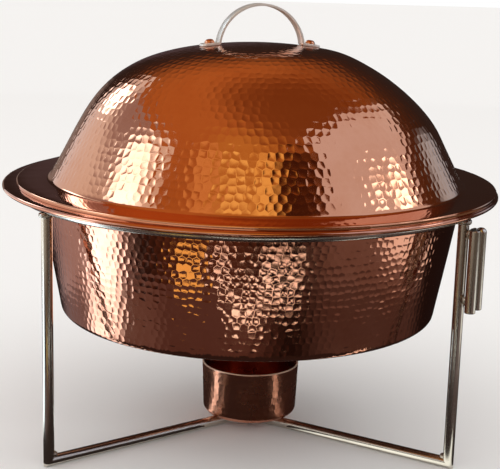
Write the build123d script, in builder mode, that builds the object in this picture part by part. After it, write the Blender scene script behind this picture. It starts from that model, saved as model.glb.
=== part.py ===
from build123d import *
import os
from math import asin, cos, radians, sin

# Round chafing dish: a hammered copper water pan with a food pan inside it and a domed lid over
# both, on a welded stand of steel rod, with a copper cup for the fuel under the pan.
# The origin is on the table under the middle of the pan. +Z is up and the front is towards -Y.

# Stand: round stainless steel rod
rod_diameter = 9.5
ring_inset = 16.1              # centre line of the ring, inside the pan's rim
stand_height = 234.4           # table to the top of the ring
left_leg_angle = -53.0         # each leg from the front, round to the right
right_leg_angle = 59.4
back_leg_angle = 183.2
bar_start = 3.4                # gap from the middle of the stand to each foot bar
ring_weld_size = 2.2           # section radius of the bead round each leg top
ring_weld_drop = 0.6           # middle of the bead, below the leg's top
foot_weld_size = 3.4           # bead in the inner corner of each foot
centre_weld_radius = 9.5
centre_weld_relief = 0.6       # the centre weld stays this far inside the bars, top and bottom

# Lid rest: two short rods on the right leg that hold the lid upright by its brim
rest_reach = 13.2              # leg axis to the rods' axes, outwards
rest_slot = 5.5                # open width between the rods
rest_drop = 5.4                # underside of the ring to the top of the rods
rest_length = 72.5
rest_weld_radius = 4.2
rest_weld_sink = 0.5           # how far each weld bead is melted into the leg
rest_weld_overlap = 3.0        # how far each weld bead runs past the slot, on both sides
rest_top_weld = 4.8            # below the top of the rods
rest_bottom_weld = 9.0         # above the bottom of the rods
rest_end_round = 4.0           # rounded top of the rear rod
rest_edge_break = 0.8          # broken edge on the other cut ends

# Water pan: copper sheet, rim rolled round a wire
pan_radius = 228.6             # outside of the rolled rim, an 18 inch pan
pan_sheet = 1.0
pan_brim_width = 31.6          # rim to the top of the wall
pan_wall_taper = 21.5          # how much further in the wall is at the base
pan_depth = 120.4              # underside of the brim to the underside of the base
pan_base_corner = 8.0
pan_brim_corner = 3.0
rim_wire_diameter = 2.0
rim_curl_gap = 0.5             # slit that the curl leaves under the brim

# Food pan: thin stainless steel, hangs by its brim in the water pan
food_sheet = 0.8
food_depth = 60.0
food_side_gap = 5.0            # steam gap to the wall of the water pan
food_brim_overlap = 7.0        # brim reaches this far past the wall of the water pan
food_base_corner = 12.0
food_brim_corner = 3.0

# Lid: one copper sheet, a dome with a flat brim and a turned-down lip
lid_inset = 7.2                # lip of the lid, inside the pan's rim
lid_sheet = 1.0
lid_shift = 5.5                # the lid stands a little to the right on the pan
lip_height = 3.2
lip_bend = 1.4
lid_brim_width = 29.4          # lip to the foot of the dome
dome_foot_bend = 4.0           # inside bend between brim and dome
dome_wall_lean = 27.8          # wall of the dome, from upright
dome_wall_length = 49.3
crown_lean = 9.1               # slope where the shoulder meets the crown
crown_past_handle = 6.2        # the crown reaches this far past the handle's feet

# Handle: a flat steel strap on two copper rivets
strap_width = 14.0
strap_thickness = 2.2
arch_radius = 38.6             # inside of the arch, half its width at the feet
arch_rise = 35.0               # inside of the arch, foot to top
handle_turn = 16.0             # the right foot stands this far round to the back
rivet_knee_gap = 2.2           # arch to the head of the rivet
pad_past_rivet = 9.0
pad_corner = 5.0
knee_bend = 2.0
rivet_shank_diameter = 4.4
rivet_head_radius = 4.6
rivet_head_height = 3.4
burr_radius = 5.2
burr_thickness = 1.0
rivet_tail_radius = 3.2
rivet_tail_height = 1.2

# Fuel cup: thicker copper, stands on the crossing of the foot bars
cup_top_radius = 46.4
cup_base_radius = 44.5
cup_height = 50.0
cup_sheet = 1.6
cup_corner = 7.0
cup_shift = 4.6                # the cup stands a little to the right

# Clearances between pieces
round_seat = 0.3               # a flat piece resting on a rod
flat_seat = 0.2                # a flat piece resting on a flat one
fit_gap = 0.05                 # rivet in its hole, wire in its curl, burr and strap on the dome

# Derived sizes
rod_radius = rod_diameter / 2
ring_radius = pan_radius - ring_inset
leg_angles = {"left": left_leg_angle, "right": right_leg_angle, "back": back_leg_angle}
ring_z = stand_height - rod_radius
leg_top = ring_z - rod_radius
pan_brim_under = stand_height + round_seat
pan_brim_top = pan_brim_under + pan_sheet
pan_base = pan_brim_under - pan_depth
bead_radius = rim_wire_diameter / 2 + pan_sheet
bead_centre = (pan_radius - bead_radius, pan_brim_top - bead_radius)
pan_wall_top_radius = pan_radius - pan_brim_width
pan_base_radius = pan_wall_top_radius - pan_wall_taper
pan_wall_slope = pan_wall_taper / pan_depth
food_brim_under = pan_brim_top + flat_seat
food_base = food_brim_under - food_depth
food_wall_top_radius = pan_wall_top_radius - pan_sheet - food_side_gap
food_base_radius = food_wall_top_radius - food_depth * pan_wall_slope
food_brim_radius = pan_wall_top_radius + food_brim_overlap
lid_radius = pan_radius - lid_inset
dome_base_radius = lid_radius - lid_brim_width
lip_bottom = pan_brim_top + flat_seat
lid_brim_top = lip_bottom + lip_height
cup_bottom = rod_diameter + round_seat
rest_spacing = rest_slot + rod_diameter
rest_top = leg_top - rest_drop
rest_bottom = rest_top - rest_length
rivet_radius_out = arch_radius + strap_thickness + rivet_knee_gap + rivet_head_radius
foot_end_x = rivet_radius_out + pad_past_rivet

# The dome's wall, shoulder and crown meet in line, so these follow from the sizes above
wall_lean = radians(dome_wall_lean)
crown_start = radians(crown_lean)
wall_top_radius = dome_base_radius - dome_wall_length * sin(wall_lean)
wall_top_z = lid_brim_top + dome_wall_length * cos(wall_lean)
crown_start_radius = foot_end_x + crown_past_handle
shoulder_radius = (wall_top_radius - crown_start_radius) / (cos(wall_lean) - sin(crown_start))
crown_radius = crown_start_radius / sin(crown_start)
crown_start_z = wall_top_z + shoulder_radius * (cos(crown_start) - sin(wall_lean))
dome_top = crown_start_z + crown_radius * (1 - cos(crown_start))
crown_centre_z = dome_top - crown_radius


def leg_direction(angle):
    """Unit vector from the middle of the stand towards a leg."""
    return Vector(sin(radians(angle)), -cos(radians(angle)), 0)


def leg_spot(angle, out=0.0, round_by=0.0, z=0.0):
    """A point beside a leg's axis: out from it, and round the ring towards the back right."""
    outwards = leg_direction(angle)
    sideways = Vector(-outwards.Y, outwards.X, 0)
    return outwards * (ring_radius + out) + sideways * round_by + Vector(0, 0, z)


def mitre_plane(angle):
    """The plane on which a leg and its foot bar meet, facing up and out."""
    return Plane(origin=leg_spot(angle, z=rod_radius), z_dir=leg_direction(angle) + Vector(0, 0, 1))


def finish(part, name):
    """Labels a finished piece and writes it to its own file."""
    part.label = name
    export_step(part, f"parts/{name}.step")


os.makedirs("parts", exist_ok=True)

# The ring lies under the brim of the water pan
with BuildPart() as stand_ring:
    with BuildSketch(Plane.XZ):
        with Locations((ring_radius, ring_z)):
            Circle(rod_radius)
    revolve(axis=Axis.Z)
finish(stand_ring.part, "stand_ring")

# Three upright legs under the ring, mitred at the foot
legs = {}
for side, angle in leg_angles.items():
    with BuildPart() as leg:
        with BuildSketch():
            with Locations(leg_spot(angle)):
                Circle(rod_radius)
        extrude(amount=leg_top)
        split(bisect_by=mitre_plane(angle), keep=Keep.TOP)
    legs[side] = leg.part
    finish(leg.part, f"leg_{side}")

# Three foot bars lie on the table and run from the feet to the middle
foot_bars = {}
for side, angle in leg_angles.items():
    outwards = leg_direction(angle)
    bar_end = Plane(origin=outwards * bar_start + Vector(0, 0, rod_radius), z_dir=outwards)
    with BuildPart() as foot_bar:
        with BuildSketch(bar_end):
            Circle(rod_radius)
        extrude(amount=ring_radius + rod_radius - bar_start)
        split(bisect_by=mitre_plane(angle), keep=Keep.BOTTOM)
    foot_bars[side] = foot_bar.part
    finish(foot_bar.part, f"foot_bar_{side}")

# Weld beads: round the leg tops, in the inner corners of the feet, and where the bars meet
with BuildPart() as ring_welds:
    for angle in leg_angles.values():
        with Locations(leg_spot(angle, z=leg_top - ring_weld_drop)):
            Torus(rod_radius, ring_weld_size)
            Cylinder(rod_radius, rod_diameter, mode=Mode.SUBTRACT)
    add(stand_ring.part, mode=Mode.SUBTRACT)
finish(ring_welds.part, "ring_welds")

with BuildPart() as foot_welds:
    for angle in leg_angles.values():
        with Locations(leg_spot(angle, out=-rod_radius, z=rod_diameter)):
            Sphere(foot_weld_size)
    add([*legs.values(), *foot_bars.values()], mode=Mode.SUBTRACT)
finish(foot_welds.part, "foot_welds")

with BuildPart() as centre_weld:
    with BuildSketch(Plane.XY.offset(centre_weld_relief)):
        Circle(centre_weld_radius)
    extrude(amount=rod_diameter - 2 * centre_weld_relief)
    add(foot_bars.values(), mode=Mode.SUBTRACT)
finish(centre_weld.part, "centre_weld")

# Lid rest: a front and a rear rod with an open slot between them, welded to the right leg
rest_angle = leg_angles["right"]
rest_rods = {}
for place, side in {"front": -1, "rear": 1}.items():
    with BuildPart() as rest_rod:
        with BuildSketch(Plane.XY.offset(rest_bottom)):
            with Locations(leg_spot(rest_angle, out=rest_reach, round_by=side * rest_spacing / 2)):
                Circle(rod_radius)
        extrude(amount=rest_length)
        rims = rest_rod.edges().filter_by(GeomType.CIRCLE).sort_by(Axis.Z)
        fillet(rims[-1], rest_end_round if place == "rear" else rest_edge_break)
        fillet(rims[0], rest_edge_break)
    rest_rods[place] = rest_rod.part
    finish(rest_rod.part, f"lid_rest_{place}_rod")

rest_weld_out = rod_radius + rest_weld_radius - rest_weld_sink
with BuildPart() as lid_rest_welds:
    sideways = leg_spot(rest_angle, round_by=1) - leg_spot(rest_angle)
    for weld_z in (rest_top - rest_top_weld, rest_bottom + rest_bottom_weld):
        middle = leg_spot(rest_angle, out=rest_weld_out, z=weld_z)
        with BuildSketch(Plane(origin=middle, z_dir=sideways)):
            Circle(rest_weld_radius)
        extrude(amount=rest_slot / 2 + rest_weld_overlap, both=True)
    add([legs["right"], *rest_rods.values()], mode=Mode.SUBTRACT)
finish(lid_rest_welds.part, "lid_rest_welds")

# Water pan: the sheet's outside line from the middle of the base to the brim, then its thickness
with BuildPart() as water_pan:
    with BuildSketch(Plane.XZ):
        with BuildLine():
            FilletPolyline(
                (0, pan_base),
                (pan_base_radius, pan_base),
                (pan_wall_top_radius, pan_brim_under),
                (bead_centre[0], pan_brim_under),
                radius=[pan_base_corner, pan_brim_corner],
            )
            offset(amount=pan_sheet, side=Side.LEFT)
        make_face()
        with Locations(bead_centre):
            Circle(bead_radius)
            Circle(bead_radius - pan_sheet, mode=Mode.SUBTRACT)
        with Locations((bead_centre[0] - bead_radius, pan_brim_under - rim_curl_gap / 2)):
            Rectangle(bead_radius, rim_curl_gap, mode=Mode.SUBTRACT)
    revolve(axis=Axis.Z)
finish(water_pan.part, "water_pan")

with BuildPart() as pan_rim_wire:
    with BuildSketch(Plane.XZ):
        with Locations(bead_centre):
            Circle(rim_wire_diameter / 2 - fit_gap)
    revolve(axis=Axis.Z)
finish(pan_rim_wire.part, "pan_rim_wire")

# Food pan: the same way, its wall parallel to the water pan's
with BuildPart() as food_pan:
    with BuildSketch(Plane.XZ):
        with BuildLine():
            FilletPolyline(
                (0, food_base),
                (food_base_radius, food_base),
                (food_wall_top_radius, food_brim_under),
                (food_brim_radius, food_brim_under),
                radius=[food_base_corner, food_brim_corner],
            )
            offset(amount=food_sheet, side=Side.LEFT)
        make_face()
    revolve(axis=Axis.Z)
finish(food_pan.part, "food_pan")

# Handle feet: the planes where the rivets stand on the crown, and the plane of the arch
handle_angle = radians(handle_turn)
foot_slope = asin(rivet_radius_out / crown_radius)
chord = Vector(cos(handle_angle), sin(handle_angle), 0)
lid_axis_spot = Vector(lid_shift, 0, 0)
lid_axis = Axis(lid_axis_spot, (0, 0, 1))
lid_section = Plane(origin=lid_axis_spot, x_dir=(1, 0, 0), z_dir=(0, -1, 0))
arch_plane = Plane(origin=lid_axis_spot, x_dir=chord, z_dir=chord.cross(Vector(0, 0, 1)))
rivet_planes = []
for side in (-1, 1):
    upright = chord * (side * sin(foot_slope)) + Vector(0, 0, cos(foot_slope))
    foot = lid_axis_spot + Vector(0, 0, crown_centre_z) + upright * crown_radius
    rivet_planes.append(Plane(origin=foot, x_dir=arch_plane.z_dir, z_dir=upright))


def pad_height(x):
    """Underside of the strap's foot at a distance from the lid's axis, along the arch plane."""
    rivet_z = crown_centre_z + (crown_radius + fit_gap) / cos(foot_slope)
    return rivet_z - abs(x) * sin(foot_slope) / cos(foot_slope)


def drill_rivet_holes():
    """Cuts both rivet holes through the piece that is being built."""
    for plane in rivet_planes:
        with BuildSketch(plane) as hole:
            Circle(rivet_shank_diameter / 2 + fit_gap)
        extrude(hole.sketch, amount=rivet_head_radius, both=True, mode=Mode.SUBTRACT)


# Lid: outside line from the lip over the brim and dome to the top, then its thickness
with BuildPart() as lid_shell:
    with BuildSketch(lid_section):
        with BuildLine():
            rim = FilletPolyline(
                (lid_radius, lip_bottom),
                (lid_radius, lid_brim_top),
                (dome_base_radius, lid_brim_top),
                (wall_top_radius, wall_top_z),
                radius=[lip_bend, dome_foot_bend],
            )
            shoulder = RadiusArc(rim @ 1, (crown_start_radius, crown_start_z), -shoulder_radius)
            RadiusArc(shoulder @ 1, (0, dome_top), -crown_radius)
            offset(amount=lid_sheet, side=Side.LEFT)
        make_face()
    revolve(axis=lid_axis)
    drill_rivet_holes()
finish(lid_shell.part, "lid_shell")

# Handle: the strap's underside in the plane of the arch, foot, arch and foot, then its thickness
knee = (arch_radius, pad_height(arch_radius))
foot_end = (foot_end_x, pad_height(foot_end_x))
with BuildPart() as lid_handle:
    with BuildSketch(arch_plane):
        with BuildLine():
            left_foot = Line((-foot_end[0], foot_end[1]), (-knee[0], knee[1]))
            arch = ThreePointArc(left_foot @ 1, (0, knee[1] + arch_rise), knee)
            Line(arch @ 1, foot_end)
            offset(amount=strap_thickness, side=Side.LEFT)
        make_face()
    extrude(amount=strap_width / 2, both=True)
    knees = lid_handle.edges().filter_by(Axis(lid_axis_spot, arch_plane.z_dir))
    inner_knees = knees.filter_by_position(Axis.Z, knee[1] - fit_gap, knee[1] + fit_gap)
    fillet(inner_knees, knee_bend)
    with BuildSketch(Plane(origin=lid_axis_spot, x_dir=chord, z_dir=(0, 0, 1))):
        RectangleRounded(2 * foot_end[0], strap_width, pad_corner)
    extrude(amount=knee[1] + arch_rise + strap_width, mode=Mode.INTERSECT)
    drill_rivet_holes()
finish(lid_handle.part, "lid_handle")

# Rivets: head on the strap, shank through strap and dome, tail peened over the burr
strap_top = fit_gap + strap_thickness
burr_bottom = -lid_sheet - 2 * fit_gap - burr_thickness
stand_up = (Align.CENTER, Align.CENTER, Align.MIN)
with BuildPart(*rivet_planes) as handle_rivets:
    with Locations((0, 0, strap_top)):
        Cylinder(rivet_head_radius, rivet_head_height, align=stand_up)
    crowns = handle_rivets.edges().filter_by(GeomType.CIRCLE).group_by(Axis.Z)[-1]
    fillet(crowns, rivet_head_height - fit_gap)
    with Locations((0, 0, burr_bottom)):
        Cylinder(rivet_shank_diameter / 2, strap_top - burr_bottom, align=stand_up)
    with Locations((0, 0, burr_bottom - rivet_tail_height)):
        Cylinder(rivet_tail_radius, rivet_tail_height, align=stand_up)
    tails = handle_rivets.edges().filter_by(GeomType.CIRCLE).group_by(Axis.Z)[0]
    fillet(tails, rivet_tail_height / 2)
finish(handle_rivets.part, "handle_rivets")

with BuildPart() as rivet_burrs:
    for plane in rivet_planes:
        with BuildSketch(plane.offset(-lid_sheet - fit_gap - burr_thickness)):
            Circle(burr_radius)
            Circle(rivet_shank_diameter / 2 + fit_gap, mode=Mode.SUBTRACT)
        extrude(amount=burr_thickness)
finish(rivet_burrs.part, "rivet_burrs")

# Fuel cup: outside line from the middle of the base to the rim, then its thickness
cup_spot = Vector(cup_shift, 0, cup_bottom)
with BuildPart() as fuel_cup:
    with BuildSketch(Plane(origin=cup_spot, x_dir=(1, 0, 0), z_dir=(0, -1, 0))):
        with BuildLine():
            FilletPolyline(
                (0, 0), (cup_base_radius, 0), (cup_top_radius, cup_height), radius=cup_corner
            )
            offset(amount=cup_sheet, side=Side.LEFT)
        make_face()
    revolve(axis=Axis(cup_spot, (0, 0, 1)))
finish(fuel_cup.part, "fuel_cup")
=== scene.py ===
"""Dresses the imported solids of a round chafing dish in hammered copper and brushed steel."""

from math import asin, atan2, ceil, cos, degrees, pi, radians, sin, tan

import bpy
import numpy as np
from bpy.props import FloatProperty, FloatVectorProperty, PointerProperty
from mathutils import Matrix, Vector
from mathutils.geometry import delaunay_2d_cdt


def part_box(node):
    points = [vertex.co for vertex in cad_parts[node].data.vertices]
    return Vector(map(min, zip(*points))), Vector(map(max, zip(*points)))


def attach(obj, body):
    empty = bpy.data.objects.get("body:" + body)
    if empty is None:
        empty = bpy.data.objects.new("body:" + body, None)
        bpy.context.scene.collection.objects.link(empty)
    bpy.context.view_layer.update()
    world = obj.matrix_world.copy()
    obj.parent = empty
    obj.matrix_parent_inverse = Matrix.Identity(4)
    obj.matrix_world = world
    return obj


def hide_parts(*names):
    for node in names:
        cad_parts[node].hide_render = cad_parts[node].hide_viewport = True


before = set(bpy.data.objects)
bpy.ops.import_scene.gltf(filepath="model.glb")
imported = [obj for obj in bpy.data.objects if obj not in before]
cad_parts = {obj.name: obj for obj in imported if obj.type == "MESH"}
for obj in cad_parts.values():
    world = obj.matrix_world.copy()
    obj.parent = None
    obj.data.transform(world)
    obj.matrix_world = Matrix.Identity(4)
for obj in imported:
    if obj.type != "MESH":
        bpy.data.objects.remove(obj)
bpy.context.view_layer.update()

bl_info = {
    "name": "Hammered Chafing Dish",
    "version": (1, 0, 0),
    "blender": (4, 5, 0),
    "location": "3D View > Sidebar > Chafing Dish",
    "description": "Hammered copper lid, pan and cup and a welded steel stand round the packed solids",
    "category": "Object",
}

lid_low, lid_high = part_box("lid_shell")
pan_low, pan_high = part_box("water_pan")
cup_low, cup_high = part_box("fuel_cup")
DISH_MIDDLE = Vector((0, 0, 0.22))

# Degrees from the front, to the right, at which each foot bar runs out
BAR_HEADINGS = {"left": -53, "right": 59.4, "back": 183.2}

# Steps round each bend of a sheet, and the step along a line that is hammered
BEND_STEPS = 6
FINE_STEP = 0.001

# Hammer marks: the bowl's share of its mark's width, its depth on an open edge, its lean, how far the
# ridges sag as a share of the depth, and how far their corners go to the spot as far from all marks
BOWL_SHARE = 0.84
EDGE_BOWL = 0.4
BOWL_LEAN = 0.35
RIDGE_SAG = 0.12
CORNER_PULL = 0.8

# Waves in a sheet worked by hand: how many go round, how they turn with height, and their phase
LONG_WAVES = ((7, 60, 0), (11, -45, 2), (4, 85, 4))
BRIM_WAVES = ((37, 0), (53, 2), (64, 5), (23, 1))

# Painted reflections: the colours that the glowing sphere and rings, which only reflections see, show to the
# metal.
# A lobe is its azimuth and height, the degrees from its middle within which it is full and beyond which it
# is gone, and its colour.
TENT_REFLECTION_LOBES = (
    (0, 40, 60, 120, (0.14, 0.05, 0.018)),
    (-30, 80, 30, 66, (0.46, 0.19, 0.055)),
    (-6, 46, 10, 26, (0.52, 0.27, 0.065)),
    (-14, 41, 2, 9, (1.0, 0.8, 0.28)),
    (7, 45, 2, 8, (0.9, 0.65, 0.2)),
    (-34, 46, 2, 8, (0.7, 0.4, 0.15)),
    (28, 43, 6, 14, (0.05, 0.016, 0.008)),
    (85, 70, 14, 40, (0.2, 0.07, 0.02)),
    (-155, 4, 6, 12, (0.24, 0.2, 0.18)),
    (-173, 12, 3, 11, (0.075, 0.055, 0.06)),
    (128, 13, 4, 14, (0.4, 0.56, 0.74)),
)
# Painted reflections of bright windows and lights, glowing in the sphere's window faces
WINDOW_REFLECTION_LOBES = (
    (-104, 46, 12, 24, (0.34, 0.30, 0.34)),
    (-80, 31, 5, 13, (2.5, 3.2, 3.9)),
    (-134, 31, 4, 8, (4.0, 4.8, 5.6)),
    (75, 40, 10, 60, (0.62, 0.64, 0.76)),
    (90, 26, 3, 7, (3.5, 4.0, 4.5)),
    (75, 32, 1, 4, (3.0, 3.5, 4.0)),
    (-30, 8, 30, 50, (0.75, 0.73, 0.7)),
)
# Painted reflections: an amber patch and pale glints that the glowing card shapes show in the pan
CARD_GLINT_LOBES = (
    (-27, 0, 8, 10, (1.1, 0.8, 0.22)),
    (4, 0, 14, 26, (1.7, 1.8, 1.7)),
)

# Glowing rings on the table that only reflections see, painting dark and bright reflections in the metal:
# name, inner and outer radius, base colour and lobes
PAINTED_REFLECTION_RINGS = (
    ("near_reflection_ring", (0.05, 0.29), (0.03, 0.02, 0.018), (
        (-76, 0, 2, 9, (1.5, 1.6, 1.6)),
        (56, 0, 1, 4, (1.4, 1.4, 1.3)),
    )),
    ("middle_reflection_ring", (0.29, 0.45), (0.014, 0.008, 0.007), (
        (-20, 0, 12, 40, (0.1, 0.058, 0.052)),
        (64, 0, 20, 44, (0.085, 0.058, 0.053)),
        (-50, 0, 4, 14, (0.15, 0.105, 0.1)),
        (-92, 0, 14, 44, (0.22, 0.19, 0.2)),
        (-75, 0, 4, 15, (2.4, 2.9, 3.2)),
    )),
    ("far_reflection_ring", (0.45, 0.85), (0.014, 0.008, 0.007), (
        (-20, 0, 6, 32, (0.08, 0.034, 0.02)),
        (64, 0, 20, 44, (0.18, 0.135, 0.125)),
        (-92, 0, 14, 44, (0.42, 0.38, 0.4)),
        (-75, 0, 4, 15, (3.0, 3.7, 4.2)),
    )),
    ("outer_reflection_ring", (0.85, 2.9), (0.2, 0.155, 0.115), (
        (60, 0, 30, 70, (0.1, 0.078, 0.06)),
        (150, 0, 20, 40, (0.02, 0.015, 0.012)),
        (-80, 0, 45, 75, (0.42, 0.36, 0.29)),
        (-100, 0, 30, 50, (1.3, 1.27, 1.2)),
    )),
)


class HammerSettings(bpy.types.PropertyGroup):
    """The marks that the planishing hammer leaves."""

    width: FloatProperty(
        name="Mark width", description="Width of a hammer mark on the lid", default=0.007, unit="LENGTH"
    )
    depth: FloatProperty(
        name="Mark depth", description="Depth of a hammer mark on lid and pan",
        default=0.00020, unit="LENGTH",
    )
    pan_width: FloatProperty(
        name="Pan mark width", description="Width of a hammer mark on the pan", default=0.0062, unit="LENGTH"
    )
    cup_width: FloatProperty(
        name="Cup mark width", description="Width of a hammer mark on the cup", default=0.006, unit="LENGTH"
    )
    cup_depth: FloatProperty(
        name="Cup mark depth", description="Depth of a hammer mark on the cup",
        default=0.00015, unit="LENGTH",
    )
    scatter: FloatProperty(
        name="Scatter", description="How far a blow strays, as a share of its width", default=0.17
    )
    drift: FloatProperty(
        name="Drift", description="How far each row slips past the last, as a share of a mark", default=0.3
    )
    unevenness: FloatProperty(
        name="Unevenness", description="How much the depth changes from blow to blow", default=0.6
    )
    wobble: FloatProperty(
        name="Wobble", description="How far a hand raised sheet strays from round",
        default=0.0004, unit="LENGTH",
    )
    edge_wobble: FloatProperty(
        name="Edge wobble", description="How far brim and rim stray from true",
        default=0.00014, unit="LENGTH",
    )


class LidSettings(bpy.types.PropertyGroup):
    """Sizes of the lid's sheet, as in its solid."""

    sheet: FloatProperty(name="Sheet", description="Thickness of the sheet", default=0.001, unit="LENGTH")
    brim: FloatProperty(
        name="Brim", description="Lip to the foot of the dome", default=0.0294, unit="LENGTH"
    )
    lip: FloatProperty(name="Lip", description="Height of the turned lip", default=0.0032, unit="LENGTH")
    lip_bend: FloatProperty(name="Lip bend", description="Bend of the lip", default=0.0014, unit="LENGTH")
    foot_bend: FloatProperty(
        name="Foot bend", description="Bend under the dome", default=0.004, unit="LENGTH"
    )
    wall_lean: FloatProperty(
        name="Wall lean", description="Lean of the dome's wall", default=radians(27.8), subtype="ANGLE"
    )
    wall: FloatProperty(name="Wall", description="Length of the dome's wall", default=0.0493, unit="LENGTH")
    crown_reach: FloatProperty(
        name="Crown reach", description="Axis to the edge of the crown", default=0.0628, unit="LENGTH"
    )
    shoulder_shift: FloatProperty(
        name="Shoulder shift", description="How far the shoulder leans left", default=0.005, unit="LENGTH"
    )
    crown_lean: FloatProperty(
        name="Crown lean", description="Slope at the edge of the crown",
        default=radians(9.1), subtype="ANGLE",
    )


class PanSettings(bpy.types.PropertyGroup):
    """Sizes of the water pan's sheet, as in its solid."""

    sheet: FloatProperty(name="Sheet", description="Thickness of the sheet", default=0.001, unit="LENGTH")
    brim: FloatProperty(name="Brim", description="Rim to the top of the wall", default=0.0316, unit="LENGTH")
    taper: FloatProperty(
        name="Taper", description="How far the wall draws in", default=0.0215, unit="LENGTH"
    )
    bead: FloatProperty(name="Bead", description="Radius of the rolled rim", default=0.002, unit="LENGTH")
    brim_bend: FloatProperty(
        name="Brim bend", description="Bend under the brim", default=0.003, unit="LENGTH"
    )
    base_bend: FloatProperty(name="Base bend", description="Bend at the base", default=0.008, unit="LENGTH")


class CupSettings(bpy.types.PropertyGroup):
    """Sizes of the fuel cup's sheet, as in its solid."""

    sheet: FloatProperty(name="Sheet", description="Thickness of the sheet", default=0.0016, unit="LENGTH")
    taper: FloatProperty(
        name="Taper", description="How far the wall draws in", default=0.0019, unit="LENGTH"
    )
    base_bend: FloatProperty(name="Base bend", description="Bend at the base", default=0.007, unit="LENGTH")
    rim_round: FloatProperty(
        name="Rim round", description="Rounding of the rim", default=0.0007, unit="LENGTH"
    )


class MetalSettings(bpy.types.PropertyGroup):
    """Colours of the metals."""

    copper: FloatVectorProperty(
        name="Copper", description="Freshly polished copper", subtype="COLOR", default=(0.88, 0.42, 0.245)
    )
    deep_copper: FloatVectorProperty(
        name="Deep copper", description="Copper gone brown", subtype="COLOR", default=(0.74, 0.29, 0.14)
    )
    pan_copper: FloatVectorProperty(
        name="Pan copper", description="The pan's redder copper",
        subtype="COLOR", default=(0.80, 0.385, 0.26),
    )
    deep_pan_copper: FloatVectorProperty(
        name="Deep pan copper", description="The pan's copper gone brown",
        subtype="COLOR", default=(0.60, 0.23, 0.135),
    )
    steel: FloatVectorProperty(
        name="Steel", description="Satin stainless steel", subtype="COLOR", default=(0.70, 0.66, 0.59)
    )
    deep_steel: FloatVectorProperty(
        name="Deep steel", description="Steel with a brown film", subtype="COLOR", default=(0.54, 0.50, 0.44)
    )
    heat_tint: FloatVectorProperty(
        name="Heat tint", description="Straw and brown tint of a weld",
        subtype="COLOR", default=(0.34, 0.28, 0.21),
    )
    bright_steel: FloatVectorProperty(
        name="Bright steel", description="Polished stainless strap",
        subtype="COLOR", default=(0.93, 0.90, 0.84),
    )
    food_steel: FloatVectorProperty(
        name="Food steel", description="Satin steel of the food pan",
        subtype="COLOR", default=(0.72, 0.72, 0.71),
    )
    deep_food_steel: FloatVectorProperty(
        name="Deep food steel", description="Food pan where it has dulled",
        subtype="COLOR", default=(0.6, 0.6, 0.59),
    )
    # Pale copper of the cup's scraped rim, which also paints a highlight on it
    worn_highlight_copper: FloatVectorProperty(
        name="Worn highlight copper", description="The cup's scraped rim and its painted highlight", subtype="COLOR", default=(1.0, 0.72, 0.53)
    )


class StudioSettings(bpy.types.PropertyGroup):
    """Camera, table and light."""

    camera_place: FloatVectorProperty(
        name="Camera place", description="Where the camera stands",
        subtype="TRANSLATION", default=(0.0, -1.1185, 0.4310),
    )
    camera_tilt: FloatProperty(
        name="Camera tilt", description="How far it looks down", default=0.2174, subtype="ANGLE"
    )
    camera_turn: FloatProperty(
        name="Camera turn", description="How far it looks right", default=0.0008, subtype="ANGLE"
    )
    camera_roll: FloatProperty(
        name="Camera roll", description="How far it is rolled", default=0.0276, subtype="ANGLE"
    )
    lens: FloatProperty(name="Lens", description="Focal length in millimetres", default=87.1)
    floor: FloatVectorProperty(
        name="Floor", description="Colour of the table top", subtype="COLOR", default=(0.92, 0.91, 0.9)
    )
    air: FloatProperty(name="Air light", description="Strength of the pale surroundings", default=1.0)
    key_light: FloatProperty(name="Key light", description="Watts of the left softbox", default=1.6)
    fill_light: FloatProperty(name="Fill light", description="Watts of the right softbox", default=1.0)


def heading(azimuth, height):
    """A direction by its degrees from the front, to the right, and its degrees up."""
    a, h = radians(azimuth), radians(height)
    return Vector((sin(a) * cos(h), -cos(a) * cos(h), sin(h)))


# Lines of spun sheets


def arc(middle, radius, start, end, steps):
    """Points on an arc, from one angle to another, as (radius, height) pairs."""
    return [
        (middle[0] + radius * cos(a), middle[1] + radius * sin(a))
        for a in np.linspace(start, end, steps + 1)
    ]


def bent_line(corners, bends, steps=BEND_STEPS):
    """A line through corners with each inner corner rounded, as a sheet is bent."""
    line = [corners[0]]
    for before, corner, after, bend in zip(corners, corners[1:], corners[2:], bends):
        p = Vector(corner)
        back, on = (Vector(before) - p).normalized(), (Vector(after) - p).normalized()
        half = back.angle(on) / 2
        if not bend:
            line.append(corner)
            continue
        middle = p + (back + on).normalized() * (bend / sin(half))
        first = (p + back * (bend / tan(half)) - middle).normalized()
        last = (p + on * (bend / tan(half)) - middle).normalized()
        for share in np.linspace(0, 1, steps + 1):
            line.append(tuple(middle + first.slerp(last, share) * bend))
    line.append(corners[-1])
    return line


def finer(line, step):
    """The same line with no stretch longer than a step."""
    points = [line[0]]
    for a, b in zip(line, line[1:]):
        a, b = np.array(a), np.array(b)
        pieces = max(1, ceil(np.hypot(*(b - a)) / step))
        points += [tuple(a + (b - a) * k / pieces) for k in range(1, pieces + 1)]
    return points


def inside_of(line, thickness):
    """The line of the sheet's other face, with the outside on the line's left."""
    points = np.array(line)
    along = np.gradient(points, axis=0)
    along /= np.hypot(*along.T)[:, None]
    normals = np.stack([-along[:, 1], along[:, 0]], 1)
    inner = points - normals * thickness
    inner[:, 0] = np.maximum(inner[:, 0], 0)
    return [tuple(p) for p in inner]


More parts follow.
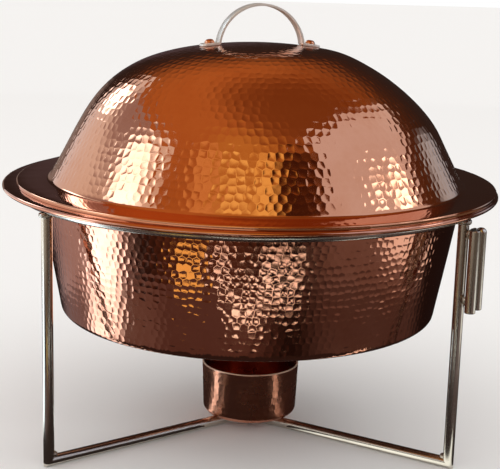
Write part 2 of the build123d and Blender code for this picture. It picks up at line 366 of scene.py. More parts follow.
class SheetLine:
    """The outside line of a spun sheet, with every place on the sheet given by a point on a plane.

    The plane keeps small shapes true, so that marks spaced evenly on the sheet are so on the plane.
    """

    def __init__(self, line, axis_x):
        self.axis_x = axis_x
        self.points = np.array(line)
        steps = np.diff(self.points, axis=0)
        lengths = np.hypot(*steps.T)
        self.along = np.concatenate(([0], np.cumsum(lengths)))
        self.length = self.along[-1]
        tangents = np.gradient(self.points, self.along, axis=0)
        tangents /= np.hypot(*tangents.T)[:, None]
        self.normals = np.stack([-tangents[:, 1], tangents[:, 0]], 1)
        radii = self.points[:, 0]
        mean_radii = np.maximum((radii[1:] + radii[:-1]) / 2, lengths / 2)
        growth = np.concatenate(([0], np.cumsum(lengths / mean_radii)))
        # A line from the axis starts on a tiny circle, which is then taken off
        start = max(radii[0], lengths[0] / 8)
        self.spread = start * np.exp(growth)
        if radii[0] < 1e-9:
            self.spread -= start

    def to_plane(self, along, angle):
        """The spot on the plane for a length along the line and an angle round the axis."""
        return np.interp(along, self.along, self.spread) * np.exp(1j * angle)

    def radius(self, along):
        """The sheet's radius at a length along the line."""
        return np.interp(along, self.along, self.points[:, 0])

    def to_sheet(self, spots, lift):
        """Places in space of spots on the plane, lifted off the sheet."""
        along = np.interp(np.abs(spots), self.spread, self.along)
        radius, height, out, up = (
            np.interp(along, self.along, values) for values in (*self.points.T, *self.normals.T)
        )
        angle = np.angle(spots)
        radius = radius + out * lift
        return np.stack(
            [self.axis_x + radius * np.cos(angle), radius * np.sin(angle), height + up * lift], 1
        )


# Mesh work


def take(*objects):
    """Selects these objects alone, the first one active."""
    bpy.ops.object.select_all(action="DESELECT")
    for obj in objects:
        obj.select_set(True)
    bpy.context.view_layer.objects.active = objects[0]


def mesh_object(name, points, edges=(), faces=()):
    """A new object in the scene with a mesh of these points, edges and faces."""
    mesh = bpy.data.meshes.new(name)
    mesh.from_pydata([tuple(p) for p in points], edges, faces)
    obj = bpy.data.objects.new(name, mesh)
    bpy.context.scene.collection.objects.link(obj)
    return obj


def edited(obj, *steps):
    """Takes steps on the whole mesh of an object: each an operator and its settings."""
    take(obj)
    bpy.ops.object.mode_set(mode="EDIT")
    for step, settings in steps:
        bpy.ops.mesh.select_all(action="SELECT")
        step(**settings)
    bpy.ops.object.mode_set(mode="OBJECT")


def spun(name, line, steps, axis_x):
    """A line of (radius, height) pairs turned all the way round an upright axis."""
    points = [(axis_x + radius, 0, height) for radius, height in line]
    obj = mesh_object(name, points, edges=[(k, k + 1) for k in range(len(points) - 1)])
    turn = {"steps": steps, "angle": 2 * pi, "center": (axis_x, 0, 0), "axis": (0, 0, 1)}
    edited(obj, (bpy.ops.mesh.spin, turn), (bpy.ops.mesh.remove_doubles, {"threshold": 1e-6}))
    return obj


def sewn(name, *pieces):
    """Joins open pieces along their shared edges into one closed sheet that faces outwards."""
    take(*pieces)
    bpy.ops.object.join()
    sheet = bpy.context.view_layer.objects.active
    edited(
        sheet,
        (bpy.ops.mesh.remove_doubles, {"threshold": 2e-5}),
        (bpy.ops.mesh.normals_make_consistent, {"inside": False}),
    )
    bpy.ops.object.shade_smooth_by_angle(angle=radians(50))
    sheet.name = name
    sheet.data.name = name
    return sheet


def mark_middles(line, width, scatter, drift, rng):
    """Middles of the hammer marks on the plane, in rows, and which of them lie on an open edge."""
    rows = round(line.length / width)
    middles, on_edge = [], []
    phase = 0.0
    for row in range(rows + 1):
        along = line.length * row / rows
        count = max(1, round(2 * pi * line.radius(along) / width))
        edge = count > 1 and row in (0, rows)
        phase += rng.uniform(-1, 1) * drift
        angles = 2 * pi * (np.arange(count) + (0 if edge else phase)) / count
        if not edge and count > 1:
            angles = angles + rng.uniform(-1, 1, count) * scatter * width / line.radius(along)
            along = along + rng.uniform(-1, 1, count) * scatter * width
        middles.append(line.to_plane(along, angles) * np.ones(count))
        on_edge.append(np.full(count, row if edge else -1))
    return np.concatenate(middles), np.concatenate(on_edge)


def corner_of(a, b, c, by_edge):
    """Where the ridges between three marks meet: near the spot as far from each.

    Beside an open edge, and where that spot is far out, it is the middle of the three.
    """
    middle = (a + b + c) / 3
    b, c = b - a, c - a
    turn = 2 * (b.conjugate() * c).imag
    if by_edge or not turn:
        return middle
    even = a + 1j * (abs(b) ** 2 * c - abs(c) ** 2 * b) / -turn
    return middle + (even - middle) * CORNER_PULL if abs(even - middle) < 2 * abs(b) else middle


class RidgeNet:
    """The ridges between hammer marks on the plane: their spots, and the corners round each mark."""

    def __init__(self, middles, on_edge):
        _, _, triangles, which, _, _ = delaunay_2d_cdt(
            [Vector((m.real, m.imag)) for m in middles], [], [], 0, 1e-9
        )
        triangles = [[which[k][0] for k in t] for t in triangles]
        triangles = [t for t in triangles if not (on_edge[t[0]] == on_edge[t[1]] == on_edge[t[2]] >= 0)]
        self.corner_count = len(triangles)
        self.spots = [
            corner_of(*(middles[k] for k in t), any(on_edge[k] >= 0 for k in t)) for t in triangles
        ]
        self.cells = [[] for _ in middles]
        for number, triangle in enumerate(triangles):
            for k in triangle:
                self.cells[k].append(number)
        self.between = {}
        self.edge_spots = set()
        for edge in sorted(set(on_edge[on_edge >= 0])):
            self.close_edge(np.flatnonzero(on_edge == edge), middles)

    def close_edge(self, ring, middles):
        """Gives marks on an open edge their own middle as a corner, and the spots halfway to the next."""
        first = len(self.spots)
        self.spots += [middles[k] for k in ring]
        self.edge_spots.update(range(first, first + len(ring)))
        halves = [self.halfway(first + k, first + (k + 1) % len(ring)) for k in range(len(ring))]
        self.edge_spots.update(halves)
        for k, cell in enumerate(ring):
            self.cells[cell] += [halves[k - 1], first + k, halves[k]]

    def halfway(self, a, b):
        """The spot between two others, on the sheet's edge where both lie there."""
        key = (min(a, b), max(a, b))
        if key not in self.between:
            spot = (self.spots[a] + self.spots[b]) / 2
            if a in self.edge_spots and b in self.edge_spots:
                spot *= (abs(self.spots[a]) + abs(self.spots[b])) / 2 / abs(spot)
            self.between[key] = len(self.spots)
            self.spots.append(spot)
        return self.between[key]

    def ring_of(self, corners, middle):
        """The corners in order round a mark, with the spots halfway along its ridges."""
        corners = sorted(
            corners, key=lambda c: np.angle((self.spots[c] - middle) / middle) if abs(middle) else 0
        )
        ring = []
        for a, b in zip(corners, corners[1:] + corners[:1]):
            on_edge = a in self.edge_spots and b in self.edge_spots
            ring += [a] if on_edge else [a, self.halfway(a, b)]
        return ring


def hammered(name, line, width, depth, settings, seed):
    """A sheet covered in hammer marks: each is a shallow bowl with a crisp ridge round it.

    It also gives the number of edges on each open edge, from the line's start to its end.
    """
    rng = np.random.default_rng(seed)
    middles, on_edge = mark_middles(line, width, settings.scatter, settings.drift, rng)
    net = RidgeNet(middles, on_edge)
    spots = net.spots
    lifts = [0.0] * len(spots)
    hollows = [0.0] * len(spots)
    tones = [0.5] * len(spots)
    faces = []
    lifts[: net.corner_count] = -RIDGE_SAG * depth * rng.uniform(0, 1, net.corner_count)
    rim_hollow = 1 - BOWL_SHARE**2
    for number, corners in enumerate(net.cells):
        if len(corners) < 3:
            continue
        middle = sum(spots[c] for c in corners) / len(corners)
        ring = net.ring_of(corners, middle)
        while len(lifts) < len(spots):
            lifts.append(-RIDGE_SAG / 2 * depth)
            hollows.append(0.0)
            tones.append(0.5)
        bowl = depth * (1 + settings.unevenness * rng.uniform(-1, 1))
        if on_edge[number] >= 0:
            bowl *= EDGE_BOWL
        tilt = BOWL_LEAN * np.exp(2j * pi * rng.uniform()) * rng.uniform()
        reach = np.mean([abs(spots[c] - middle) for c in ring if c in corners])
        tone = rng.uniform()
        inner = []
        for spot in ring:
            offset = (spots[spot] - middle) * BOWL_SHARE
            lean = 1 + (offset * tilt.conjugate()).real / reach
            inner.append(len(spots))
            spots.append(middle + offset)
            lifts.append(-bowl * rim_hollow * lean)
            hollows.append(rim_hollow)
            tones.append(tone)
        spots.append(middle)
        lifts.append(-bowl)
        hollows.append(1.0)
        tones.append(tone)
        turned = list(zip(range(len(ring)), [*range(1, len(ring)), 0]))
        faces += [(ring[k], ring[n], inner[n], inner[k]) for k, n in turned]
        faces += [(inner[k], inner[n], len(spots) - 1) for k, n in turned]

    lifts = np.array(lifts)
    lifts[sorted(net.edge_spots)] = 0
    obj = mesh_object(name, line.to_sheet(np.array(spots), lifts), faces=faces)
    for label, values in (("hollow", hollows), ("tone", tones)):
        attribute = obj.data.attributes.new(label, "FLOAT", "POINT")
        attribute.data.foreach_set("value", np.array(values, np.float32))
    return obj, [2 * int(np.sum(on_edge == edge)) for edge in sorted(set(on_edge[on_edge >= 0]))]


def eased(share):
    """A smooth step from 0 to 1."""
    share = np.clip(share, 0, 1)
    return share * share * (3 - 2 * share)


def points_of(obj):
    """The points of a mesh as an array."""
    points = np.zeros(len(obj.data.vertices) * 3)
    obj.data.vertices.foreach_get("co", points)
    return points.reshape(-1, 3)


def put_points(obj, points):
    """Puts the points of a mesh where an array has them."""
    obj.data.vertices.foreach_set("co", points.ravel())
    obj.data.update()


def wobbled(obj, settings, axis_x, wall_radius):
    """Strays the sheet a little, as hand work does: long waves all over, short ones on the brim."""
    calm_radius, brim_reach = 0.05, 0.02
    points = points_of(obj)
    x, y, z = points[:, 0] - axis_x, points[:, 1], points[:, 2]
    angle = np.arctan2(y, x)
    radius = np.hypot(x, y)
    on_brim = eased((radius - wall_radius) / brim_reach)
    waves = sum(np.sin(count * angle + turn * z + phase) for count, turn, phase in LONG_WAVES)
    most = len(LONG_WAVES)
    shift = -settings.wobble * (waves + most) / (2 * most) * eased(radius / calm_radius)
    short = sum(np.sin(count * angle + phase) for count, phase in BRIM_WAVES)
    most = len(BRIM_WAVES)
    worked = settings.edge_wobble * (short - most) / (2 * most) * on_brim
    points[:, 0] += np.cos(angle) * (shift + worked)
    points[:, 1] += np.sin(angle) * (shift + worked)
    points[:, 2] += worked * on_brim
    put_points(obj, points)


def leaned(obj, lean, axis_x):
    """Leans the dome's shoulder to the left, as hand raising left it; the crown's middle stays."""
    from_height, over_height = 0.05, 0.055
    from_radius, over_radius = 0.064, 0.045
    points = points_of(obj)
    radius = np.hypot(points[:, 0] - axis_x, points[:, 1])
    share = eased((points[:, 2] - lid_low.z - from_height) / over_height)
    points[:, 0] -= lean * (share * eased((radius - from_radius) / over_radius))
    put_points(obj, points)


def merged_copy(node, name):
    """A copy of a solid's mesh with its loose triangles joined."""
    copy = bpy.data.objects.new(name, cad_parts[node].data.copy())
    bpy.context.scene.collection.objects.link(copy)
    edited(copy, (bpy.ops.mesh.remove_doubles, {"threshold": 1e-6}))
    return copy


def rounded(node, edge):
    """The solid with its sharp edges rounded, as a finished strap has them."""
    strap = merged_copy(node, node + "_finished")
    edited(strap, (bpy.ops.mesh.dissolve_limited, {"angle_limit": radians(1)}))
    bevel = strap.modifiers.new("Edges", "BEVEL")
    bevel.width = edge
    bevel.segments = 3
    bevel.angle_limit = radians(50)
    bpy.ops.object.modifier_apply(modifier=bevel.name)
    bpy.ops.object.shade_smooth_by_angle(angle=radians(35))
    return strap


def melted(node):
    """The solid of a weld with the lumps and ripples of a bead."""
    bead = merged_copy(node, node + "_beads")
    remesh = bead.modifiers.new("Skin", "REMESH")
    remesh.mode = "VOXEL"
    remesh.voxel_size = 0.0004
    remesh.use_smooth_shade = True
    bpy.ops.object.modifier_apply(modifier=remesh.name)
    lumps = bpy.data.textures.new(node + " lumps", "CLOUDS")
    lumps.noise_scale = 0.0022
    ripple = bead.modifiers.new("Lumps", "DISPLACE")
    ripple.texture = lumps
    ripple.strength = 0.0011
    ripple.mid_level = 0.55
    bpy.ops.object.modifier_apply(modifier=ripple.name)
    bpy.ops.object.shade_smooth()
    return bead


# Finishes


def node_group(name, inputs, outputs):
    """An empty shader node group with inputs by their values and outputs by their kinds."""
    group = bpy.data.node_groups.new(name, "ShaderNodeTree")
    for label, value in inputs.items():
        kind = "Float" if isinstance(value, float) else {3: "Vector", 4: "Color"}[len(value)]
        socket = group.interface.new_socket(label, in_out="INPUT", socket_type="NodeSocket" + kind)
        socket.default_value = value
    for label, kind in outputs.items():
        group.interface.new_socket(label, in_out="OUTPUT", socket_type="NodeSocket" + kind)
    return group, group.nodes.new("NodeGroupInput"), group.nodes.new("NodeGroupOutput")


def feed(tree, node, inputs):
    """Gives a node's inputs, by name or number, a value or a link from an output."""
    for label, value in inputs.items():
        if isinstance(value, bpy.types.NodeSocket):
            tree.links.new(value, node.inputs[label])
        else:
            node.inputs[label].default_value = value


def add_node(tree, kind, inputs=None, **values):
    """A node with its settings and inputs."""
    node = tree.nodes.new(kind)
    for label, value in values.items():
        setattr(node, label, value)
    feed(tree, node, inputs or {})
    return node


def math_node(tree, operation, *values, **settings):
    """The output of a math node for values and outputs."""
    inputs = dict(enumerate(values))
    return add_node(tree, "ShaderNodeMath", inputs, operation=operation, **settings).outputs[0]


def patina_group():
    """Cloudy patches where polished metal has gone brown, and a tone of its own for each mark."""
    inputs = {
        "Fresh": (1, 1, 1, 1), "Deep": (0.5, 0.5, 0.5, 1), "Cloud Scale": 14.0, "Amount": 0.5,
        "Low Roughness": 0.12, "High Roughness": 0.3,
    }
    group, given, out = node_group("Patina", inputs, {"Colour": "Color", "Roughness": "Float"})
    place = add_node(group, "ShaderNodeTexCoord")
    clouds = add_node(group, "ShaderNodeTexNoise", {
        "Vector": place.outputs["Object"], "Scale": given.outputs["Cloud Scale"],
        "Detail": 5.0, "Roughness": 0.6,
    })
    patches = add_node(group, "ShaderNodeMapRange", interpolation_type="SMOOTHSTEP", inputs={
        "Value": clouds.outputs["Fac"], "From Min": 0.35, "From Max": 0.7,
    })
    tone = add_node(group, "ShaderNodeAttribute", attribute_name="tone")
    hollow = add_node(group, "ShaderNodeAttribute", attribute_name="hollow")
    marks = math_node(group, "MULTIPLY", tone.outputs["Fac"], 0.14)
    dark = math_node(group, "MULTIPLY_ADD", hollow.outputs["Fac"], 0.1, marks)
    total = math_node(group, "ADD", patches.outputs["Result"], dark)
    share = math_node(group, "MULTIPLY", total, given.outputs["Amount"], use_clamp=True)
    colour = add_node(group, "ShaderNodeMix", data_type="RGBA", inputs={
        "Factor": share, "A": given.outputs["Fresh"], "B": given.outputs["Deep"],
    })
    rough = add_node(group, "ShaderNodeMapRange", {
        "Value": share,
        "To Min": given.outputs["Low Roughness"], "To Max": given.outputs["High Roughness"],
    })
    feed(group, out, {"Colour": colour.outputs["Result"], "Roughness": rough.outputs["Result"]})
    return group


def polish_group():
    """Fine marks of the polishing wheel, as a height."""
    inputs = {"Turn": 0.0, "Stretch": (1.0, 1.0, 1.0), "Scale": 900.0}
    group, given, out = node_group("Polish Marks", inputs, {"Height": "Float"})
    place = add_node(group, "ShaderNodeTexCoord")
    turned = add_node(group, "ShaderNodeVectorRotate", rotation_type="Z_AXIS", inputs={
        "Vector": place.outputs["Object"], "Angle": given.outputs["Turn"],
    })
    stretch = add_node(group, "ShaderNodeVectorMath", operation="MULTIPLY", inputs={
        0: turned.outputs[0], 1: given.outputs["Stretch"],
    })
    grain = add_node(group, "ShaderNodeTexNoise", {
        "Vector": stretch.outputs[0], "Scale": given.outputs["Scale"], "Detail": 3.0, "Roughness": 0.55,
    })
    feed(group, out, {"Height": grain.outputs["Fac"]})
    return group


def metal(
    name, fresh, deep, *, clouds, amount, roughness, grain, stretch=(1, 1, 1), turn=0.0, metallic=1.0
):
    """A polished metal that goes from its fresh to its deep colour in clouds.

    Its roughness goes from the first to the second value with them. The grain is the scale and the depth
    of its polish marks, which are turned round Z and stretched.
    """
    material = bpy.data.materials.new(name)
    material.use_nodes = True
    tree = material.node_tree
    patina = add_node(tree, "ShaderNodeGroup", node_tree=groups["patina"], inputs={
        "Fresh": (*fresh, 1), "Deep": (*deep, 1), "Cloud Scale": clouds, "Amount": amount,
        "Low Roughness": roughness[0], "High Roughness": roughness[1],
    })
    polish = add_node(tree, "ShaderNodeGroup", node_tree=groups["polish"], inputs={
        "Stretch": stretch, "Turn": turn, "Scale": grain[0],
    })
    bump = add_node(tree, "ShaderNodeBump", inputs={
        "Strength": 1.0, "Distance": grain[1], "Height": polish.outputs["Height"],
    })
    feed(tree, tree.nodes["Principled BSDF"], {
        "Base Color": patina.outputs["Colour"], "Roughness": patina.outputs["Roughness"],
        "Normal": bump.outputs["Normal"], "Metallic": metallic,
    })
    return material


def coat(obj, material):
    """Gives the whole object one material."""
    obj.data.materials.clear()
    obj.data.materials.append(material)


def coat_node(node, material):
    """Gives a solid's slots the material, its mesh untouched."""
    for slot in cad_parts[node].material_slots:
        slot.material = material


# The shared node groups, made by the first operator
groups = {}


class CHAFER_OT_finishes(bpy.types.Operator):
    """Makes the node groups that the metals share"""

    bl_idname = "chafer.finishes"
    bl_label = "Shared finishes"

    def execute(self, context):
        groups["patina"] = patina_group()
        groups["polish"] = polish_group()
        return {"FINISHED"}


def dome_line(lid):
    """The lid's outside line from the middle of its top down to the foot bend."""
    radius = (lid_high.x - lid_low.x) / 2
    foot = (radius - lid.brim, lid_low.z + lid.lip)
    wall_top = (foot[0] - lid.wall * sin(lid.wall_lean), foot[1] + lid.wall * cos(lid.wall_lean))
    shoulder = (wall_top[0] - lid.crown_reach) / (cos(lid.wall_lean) - sin(lid.crown_lean))
    shoulder_middle = (
        wall_top[0] - shoulder * cos(lid.wall_lean),
        wall_top[1] - shoulder * sin(lid.wall_lean),
    )
    crown = lid.crown_reach / sin(lid.crown_lean)
    crown_end = pi / 2 - lid.crown_lean
    line = arc((0, lid_high.z - crown), crown, pi / 2, crown_end, steps=60)
    line += arc(shoulder_middle, shoulder, crown_end, lid.wall_lean, steps=160)[1:]
    bend_reach = lid.foot_bend * tan((pi / 2 - lid.wall_lean) / 2)
    end = (foot[0] - bend_reach * sin(lid.wall_lean), foot[1] + bend_reach * cos(lid.wall_lean))
    return finer(line + [end], FINE_STEP), foot


class CHAFER_OT_lid(bpy.types.Operator):
    """Raises the hammered lid: dome, brim and turned-down lip"""

    bl_idname = "chafer.lid"
    bl_label = "Hammered lid"

    def execute(self, context):
        scene = context.scene
        lid, hammer, metals = scene.chafer_lid, scene.chafer_hammer, scene.chafer_metals
        inner_points = 26
        axis_x = (lid_low.x + lid_high.x) / 2
        radius = (lid_high.x - lid_low.x) / 2
        dome, foot = dome_line(lid)
        skin, steps = hammered(
            "lid skin", SheetLine(dome, axis_x), hammer.width, hammer.depth, hammer, seed=11
        )
        edge = bent_line(
            [dome[-1], foot, (radius, foot[1]), (radius, lid_low.z)], [lid.foot_bend, lid.lip_bend]
        )
        inner = inside_of(dome[:: len(dome) // inner_points] + edge[1:], lid.sheet)
        brim = finer([dome[-1]] + edge[1:] + inner[::-1], step=0.012)
        sheet = sewn("lid_sheet", skin, spun("lid brim", brim, steps[-1], axis_x))
        wobbled(sheet, hammer, axis_x, radius - lid.brim)
        leaned(sheet, lid.shoulder_shift, axis_x)
        coat(sheet, metal(
            "Lid copper", metals.copper, metals.deep_copper,
            clouds=16.0, amount=0.55, roughness=(0.06, 0.13), grain=(700.0, 8e-6),
        ))
        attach(sheet, "lid")
        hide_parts("lid_shell")
        return {"FINISHED"}


class CHAFER_OT_water_pan(bpy.types.Operator):
    """Raises the hammered water pan with its wired rim"""

    bl_idname = "chafer.water_pan"
    bl_label = "Hammered water pan"

    def execute(self, context):
        scene = context.scene
        pan, hammer, metals = scene.chafer_pan, scene.chafer_hammer, scene.chafer_metals
        radius = (pan_high.x - pan_low.x) / 2
        top, base = pan_high.z, pan_low.z
        under = top - pan.sheet
        wall_top, wall_base = radius - pan.brim, radius - pan.brim - pan.taper
        outside = bent_line(
            [(radius - 2 * pan.bead, under), (wall_top, under), (wall_base, base), (0, base)],
            [pan.brim_bend, pan.base_bend],
        )
        wall_start, wall_end = 1 + BEND_STEPS, 2 + 2 * BEND_STEPS
        wall = finer(outside[wall_start : wall_end + 1], FINE_STEP)
        skin, steps = hammered(
            "pan skin", SheetLine(wall, 0), hammer.pan_width, hammer.depth, hammer, seed=23
        )
        bead_middle = (radius - pan.bead, top - pan.bead)
        meet = pi - asin((under - bead_middle[1]) / pan.bead)
        bead = arc(bead_middle, pan.bead, meet, 2 * pi + pi / 2, steps=18)
        upper = outside[1 : wall_start + 1][::-1] + bead + inside_of(outside, pan.sheet)[1:]
        upper = spun("pan brim", finer(upper, step=0.014), steps[0], 0)
        floor = spun("pan floor", finer([outside[wall_end], outside[-1]], step=0.012), steps[-1], 0)
        sheet = sewn("water_pan_sheet", skin, upper, floor)
        wobbled(sheet, hammer, 0, wall_top)
        coat(sheet, metal(
            "Pan copper", metals.pan_copper, metals.deep_pan_copper,
            clouds=13.0, amount=0.6, roughness=(0.07, 0.15), grain=(700.0, 8e-6),
        ))
        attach(sheet, "water_pan")
        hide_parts("water_pan")
        return {"FINISHED"}


class CHAFER_OT_fuel_cup(bpy.types.Operator):
    """Raises the fuel cup with its light hammer marks"""

    bl_idname = "chafer.fuel_cup"
    bl_label = "Fuel cup"

    def execute(self, context):
        scene = context.scene
        cup, hammer, metals = scene.chafer_cup, scene.chafer_hammer, scene.chafer_metals
        axis_x = (cup_low.x + cup_high.x) / 2
        radius = (cup_high.x - cup_low.x) / 2
        outside = bent_line(
            [(radius, cup_high.z), (radius - cup.taper, cup_low.z), (0, cup_low.z)], [cup.base_bend]
        )
        # The marks start a little under the rim and end one step into the bend at the base
        bare_share = 0.06
        wall_start = (radius - cup.taper * bare_share, cup_high.z - (cup_high.z - cup_low.z) * bare_share)
        wall = finer([wall_start] + outside[1:3], FINE_STEP)
        skin, steps = hammered(
            "cup skin", SheetLine(wall, axis_x), hammer.cup_width, hammer.cup_depth, hammer, seed=37
        )
        inside = inside_of(outside, cup.sheet)
        upper = bent_line(
            [wall_start, outside[0], (inside[0][0], cup_high.z), inside[1]],
            [cup.rim_round, cup.rim_round], steps=4,
        )
        upper = spun("cup rim", finer(upper + inside[2:], step=0.012), steps[0], axis_x)
        floor = spun("cup floor", finer(outside[2:], step=0.01), steps[-1], axis_x)
        sheet = sewn("fuel_cup_sheet", skin, upper, floor)
        coat(sheet, metal(
            "Cup copper", metals.pan_copper, metals.deep_pan_copper,
            clouds=22.0, amount=0.9, roughness=(0.16, 0.34), grain=(900.0, 4e-5), stretch=(1, 1, 0.15),
        ))
        # The pale rim is partly wear and partly a painted highlight
        self.worn_and_highlit_rim(sheet.active_material, metals.worn_highlight_copper)
        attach(sheet, "fuel_cup")
        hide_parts("fuel_cup")
        return {"FINISHED"}

    def worn_and_highlit_rim(self, material, worn_highlight):
        """Turns the cup's rim pale and dull, where the fuel cans scrape it as they go in and out; the pale
        colour also paints a highlight along the rim.
        """
        tree = material.node_tree
        place = add_node(tree, "ShaderNodeTexCoord")
        split = add_node(tree, "ShaderNodeSeparateXYZ", {0: place.outputs["Object"]})
        edge = add_node(tree, "ShaderNodeMapRange", {
            "Value": split.outputs["Z"], "From Min": cup_high.z - 0.0012, "From Max": cup_high.z - 0.0005,
        })
        # Pale, partly matte rim: wear, and a painted highlight that the pale room lights from every side
        for label, pale_highlight in {"Base Color": (*worn_highlight, 1), "Roughness": 0.4, "Metallic": 0.55}.items():
            socket = tree.nodes["Principled BSDF"].inputs[label]
            kind = "RGBA" if label == "Base Color" else "FLOAT"
            mix = add_node(tree, "ShaderNodeMix", data_type=kind, inputs={
                "Factor": edge.outputs["Result"], "B": pale_highlight,
                "A": socket.links[0].from_socket if socket.is_linked else socket.default_value,
            })
            tree.links.new(mix.outputs["Result"], socket)


class CHAFER_OT_steel(bpy.types.Operator):
    """Finishes the stand, the handle and the hidden pieces"""

    bl_idname = "chafer.steel"
    bl_label = "Steel pieces"

    def execute(self, context):
        metals = context.scene.chafer_metals
        upright = ("leg_left", "leg_right", "leg_back", "lid_rest_front_rod", "lid_rest_rear_rod")
        rods = [(("stand_ring",), (1, 1, 1), 0), (upright, (1, 1, 0.05), 0)]
        rods += [(("foot_bar_" + side,), (0.05, 1, 1), turn) for side, turn in BAR_HEADINGS.items()]
        for nodes, stretch, turn in rods:
            rod = metal(
                nodes[0] + " steel", metals.steel, metals.deep_steel,
                clouds=30.0, amount=0.6, roughness=(0.2, 0.3), grain=(900.0, 6e-6),
                stretch=stretch, turn=radians(90 - turn),
            )
            for node in nodes:
                coat_node(node, rod)
        weld = metal(
            "Weld steel", metals.steel, metals.heat_tint,
            clouds=160.0, amount=0.9, roughness=(0.2, 0.4), grain=(500.0, 4e-5),
        )
        for node, body in {
            "ring_welds": "stand", "foot_welds": "stand", "centre_weld": "stand", "lid_rest_welds": "stand"
        }.items():
            bead = melted(node)
            coat(bead, weld)
            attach(bead, body)
            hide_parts(node)
        strap = metal(
            "Handle steel", metals.bright_steel, metals.steel,
            clouds=40.0, amount=0.25, roughness=(0.3, 0.42), grain=(1200.0, 1e-5), metallic=0.6,
        )
        handle = rounded("lid_handle", edge=0.0005)
        coat(handle, strap)
        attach(handle, "lid")
        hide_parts("lid_handle")
        rivet = metal(
            "Rivet copper", metals.copper, metals.deep_copper,
            clouds=120.0, amount=0.8, roughness=(0.15, 0.3), grain=(900.0, 2e-5),
        )
        coat_node("handle_rivets", rivet)
        coat_node("rivet_burrs", rivet)
        coat_node("pan_rim_wire", strap)
        satin = metal(
            "Food pan steel", metals.food_steel, metals.deep_food_steel,
            clouds=20.0, amount=0.5, roughness=(0.22, 0.34), grain=(1500.0, 2e-5),
        )
        coat_node("food_pan", satin)
        return {"FINISHED"}


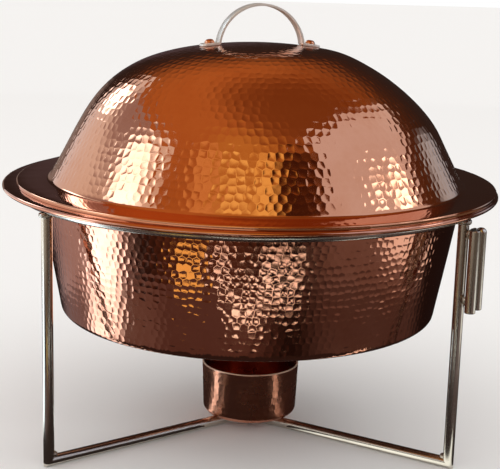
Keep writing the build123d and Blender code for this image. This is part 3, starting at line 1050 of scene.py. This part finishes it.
class CHAFER_OT_studio(bpy.types.Operator):
    """Sets the table, the lights, the glowing surfaces that paint reflections and the camera"""

    bl_idname = "chafer.studio"
    bl_label = "Studio"

    def execute(self, context):
        scene, studio = context.scene, context.scene.chafer_studio
        floor = self.table_top(studio.floor)
        glow_sphere = self.painted_reflection_sphere()
        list(self.reflected_glow_rings())
        self.pale_air(scene, studio.air)
        self.softbox("left softbox", -69, 38, studio.key_light)
        self.softbox("right softbox", 70, 38, studio.fill_light)
        scene.camera = self.aimed_camera(studio)
        scene.view_settings.view_transform = "Standard"
        return {"FINISHED"}

    def table_top(self, colour):
        """A wide pale table with hardly any gloss."""
        bpy.ops.object.select_all(action="DESELECT")
        bpy.ops.mesh.primitive_plane_add(size=30, location=(0, 0, 0))
        floor = bpy.context.active_object
        floor.name = "floor"
        paint = bpy.data.materials.new("Floor")
        paint.use_nodes = True
        feed(paint.node_tree, paint.node_tree.nodes["Principled BSDF"], {
            "Base Color": (*colour, 1), "Roughness": 0.9, "Specular IOR Level": 0.1,
        })
        coat(floor, paint)
        return floor

    def aimed_camera(self, studio):
        """The camera of the photograph, by its place, tilt, turn and roll."""
        turn = Matrix.Rotation(-studio.camera_turn, 3, "Z")
        tilt = Matrix.Rotation(pi / 2 - studio.camera_tilt, 3, "X")
        roll = Matrix.Rotation(studio.camera_roll, 3, "Z")
        bpy.ops.object.camera_add(location=studio.camera_place, rotation=(turn @ tilt @ roll).to_euler())
        camera = bpy.context.active_object
        camera.data.lens = studio.lens
        camera.data.sensor_width = 36
        return camera

    def glowing(self, name, base, lobes):
        """A glowing surface in a base colour, with softly bounded lobes of others: painted light that only
        reflections see.
        """
        material = bpy.data.materials.new(name)
        material.use_nodes = True
        tree = material.node_tree
        tree.nodes.remove(tree.nodes["Principled BSDF"])
        place = add_node(tree, "ShaderNodeTexCoord").outputs["Object"]
        unit = add_node(tree, "ShaderNodeVectorMath", {0: place}, operation="NORMALIZE").outputs[0]
        colour = (*base, 1)
        for azimuth, height, inner, outer, shade in lobes:
            towards = add_node(tree, "ShaderNodeVectorMath", operation="DOT_PRODUCT", inputs={
                0: unit, 1: heading(azimuth, height),
            })
            share = add_node(tree, "ShaderNodeMapRange", interpolation_type="SMOOTHSTEP", inputs={
                "Value": towards.outputs["Value"],
                "From Min": cos(radians(outer)), "From Max": cos(radians(inner)),
            })
            colour = add_node(tree, "ShaderNodeMix", data_type="RGBA", inputs={
                "Factor": share.outputs["Result"], "A": colour, "B": (*shade, 1),
            }).outputs["Result"]
        emission = add_node(tree, "ShaderNodeEmission", {"Color": colour})
        feed(tree, tree.nodes["Material Output"], {"Surface": emission.outputs["Emission"]})
        return material

    def only_reflected(self, obj):
        """Lets only reflections see a glowing surface, so that it paints reflections on the metal but lights
        and shades nothing.
        """
        for rays in ("camera", "diffuse", "shadow", "transmission", "volume_scatter"):
            setattr(obj, "visible_" + rays, False)

    def painted_reflection_sphere(self):
        """A glowing sphere over the table that only reflections see: dark, with painted reflections of light
        in its windows and lobes.
        """
        bpy.ops.mesh.primitive_uv_sphere_add(segments=144, ring_count=72, radius=3)
        glow_sphere = bpy.context.active_object
        glow_sphere.name = "painted_reflection_sphere"
        # Painted reflections: the sphere glows dark, and bright in its window faces, for the metal to mirror
        coat(glow_sphere, self.glowing("Tent cloth", (0.03, 0.02, 0.017), TENT_REFLECTION_LOBES))
        glow_sphere.data.materials.append(self.glowing("Window light", (0.74, 0.8, 0.88), WINDOW_REFLECTION_LOBES))
        for face in glow_sphere.data.polygons:
            middle = face.center.normalized()
            if self.in_window(degrees(atan2(middle.x, -middle.y)), degrees(asin(middle.z))):
                face.material_index = 1
        self.only_reflected(glow_sphere)
        return glow_sphere

    def in_window(self, azimuth, height):
        """Whether a direction meets the left window, the right one or one of the two low slots, all of them
        glowing painted reflections.
        """
        right_end = min(132, 46 + 2.2 * height)
        right_top = 59 - 0.6 * max(0, azimuth - 104)
        return (
            -144 < azimuth < -60 and -3 < height < 46
            or 42 < azimuth < right_end and 23 < height < right_top
            or -60 <= azimuth < 0 and 2 < height < 20
            or 50 < azimuth < 100 and 2 < height < 14
        )

    def reflected_glow_rings(self):
        """Glowing rings on the table that only reflections see, dark but for some lobes of painted light,
        and the glowing card shapes.
        """
        steps, lift = 72, Vector((0, 0, 0.003))
        reflection_glows = []
        for name, rings, base, lobes in PAINTED_REFLECTION_RINGS:
            points = [heading(360 * k / steps, 0) * r + lift for r in rings for k in range(steps)]
            ends = [(k, (k + 1) % steps) for k in range(steps)]
            reflection_glow = mesh_object(name, points, faces=[(a, b, steps + b, steps + a) for a, b in ends])
            # Painted reflections: each ring glows in its colours for the copper and steel to mirror
            coat(reflection_glow, self.glowing(name + " cloth", base, lobes))
            self.only_reflected(reflection_glow)
            reflection_glows.append(reflection_glow)
        return reflection_glows + [self.glint_cards()]

    def glint_cards(self):
        """Glowing card shapes on the table that only reflections see: an amber one, a wide one and small
        ones that paint sparkling glints in the pan.
        """
        rng = np.random.default_rng(5)
        lift = Vector((0, 0, 0.005))
        # Azimuth, distance, width in degrees and length
        spots = [(-27, 0.45, 13, 0.07), (84, 0.56, 36, 0.5)]
        spots += [(a, rng.uniform(0.36, 0.5), rng.uniform(2.5, 4.9), 0.04) for a in range(-13, 25, 4)]
        points, faces = [], []
        for azimuth, near, width, length in spots:
            faces.append(tuple(range(len(points), len(points) + 4)))
            for a, r in ((-1, 0), (1, 0), (1, 1), (-1, 1)):
                points.append(heading(azimuth + a * width / 2, 0) * (near + r * length) + lift)
        glint_cards = mesh_object("reflected_glint_cards", points, faces=faces)
        # Painted glints and an amber reflection: the card shapes glow for the pan to mirror
        coat(glint_cards, self.glowing("Card light", (1.0, 0.98, 0.93), CARD_GLINT_LOBES))
        self.only_reflected(glint_cards)
        return glint_cards

    def pale_air(self, scene, strength):
        """Pale air that lights the scene, and plain white where camera and reflections look out."""
        world = bpy.data.worlds.new("Pale room")
        scene.world = world
        world.use_nodes = True
        tree = world.node_tree
        air = tree.nodes["Background"]
        feed(tree, air, {"Color": (1, 0.985, 0.97, 1), "Strength": strength})
        white = add_node(tree, "ShaderNodeBackground", {"Color": (1, 1, 1, 1), "Strength": 1.0})
        rays = add_node(tree, "ShaderNodeLightPath").outputs
        seen = math_node(tree, "ADD", rays["Is Camera Ray"], rays["Is Glossy Ray"])
        seen = math_node(tree, "ADD", seen, rays["Is Transmission Ray"], use_clamp=True)
        mix = add_node(tree, "ShaderNodeMixShader", {"Fac": seen, 1: air.outputs[0], 2: white.outputs[0]})
        feed(tree, tree.nodes["World Output"], {"Surface": mix.outputs[0]})

    def softbox(self, name, azimuth, height, watts):
        """A flat softbox that faces the dish and shows in no reflection."""
        place = heading(azimuth, height) * 2 + DISH_MIDDLE
        facing = (DISH_MIDDLE - place).to_track_quat("-Z", "Y").to_euler()
        bpy.ops.object.light_add(type="AREA", location=place, rotation=facing)
        lamp = bpy.context.active_object
        lamp.name = name
        lamp.data.size = 0.8
        lamp.data.energy = watts
        lamp.visible_glossy = False


class CHAFER_PT_panel(bpy.types.Panel):
    """Lists the pieces of the chafing dish"""

    bl_label = "Chafing Dish"
    bl_space_type = "VIEW_3D"
    bl_region_type = "UI"
    bl_category = "Chafing Dish"

    def draw(self, context):
        for step in STEPS:
            self.layout.operator(step.bl_idname)


STEPS = (
    CHAFER_OT_finishes, CHAFER_OT_lid, CHAFER_OT_water_pan, CHAFER_OT_fuel_cup, CHAFER_OT_steel,
    CHAFER_OT_studio,
)
SETTINGS = {
    "chafer_hammer": HammerSettings,
    "chafer_lid": LidSettings,
    "chafer_pan": PanSettings,
    "chafer_cup": CupSettings,
    "chafer_metals": MetalSettings,
    "chafer_studio": StudioSettings,
}


def register():
    for cls in (*SETTINGS.values(), *STEPS, CHAFER_PT_panel):
        bpy.utils.register_class(cls)
    for name, cls in SETTINGS.items():
        setattr(bpy.types.Scene, name, PointerProperty(type=cls))


def unregister():
    for name in SETTINGS:
        delattr(bpy.types.Scene, name)
    for cls in reversed((*SETTINGS.values(), *STEPS, CHAFER_PT_panel)):
        bpy.utils.unregister_class(cls)


def main():
    register()
    bpy.ops.chafer.finishes()
    bpy.ops.chafer.lid()
    bpy.ops.chafer.water_pan()
    bpy.ops.chafer.fuel_cup()
    bpy.ops.chafer.steel()
    bpy.ops.chafer.studio()


if __name__ == "__main__":
    main()
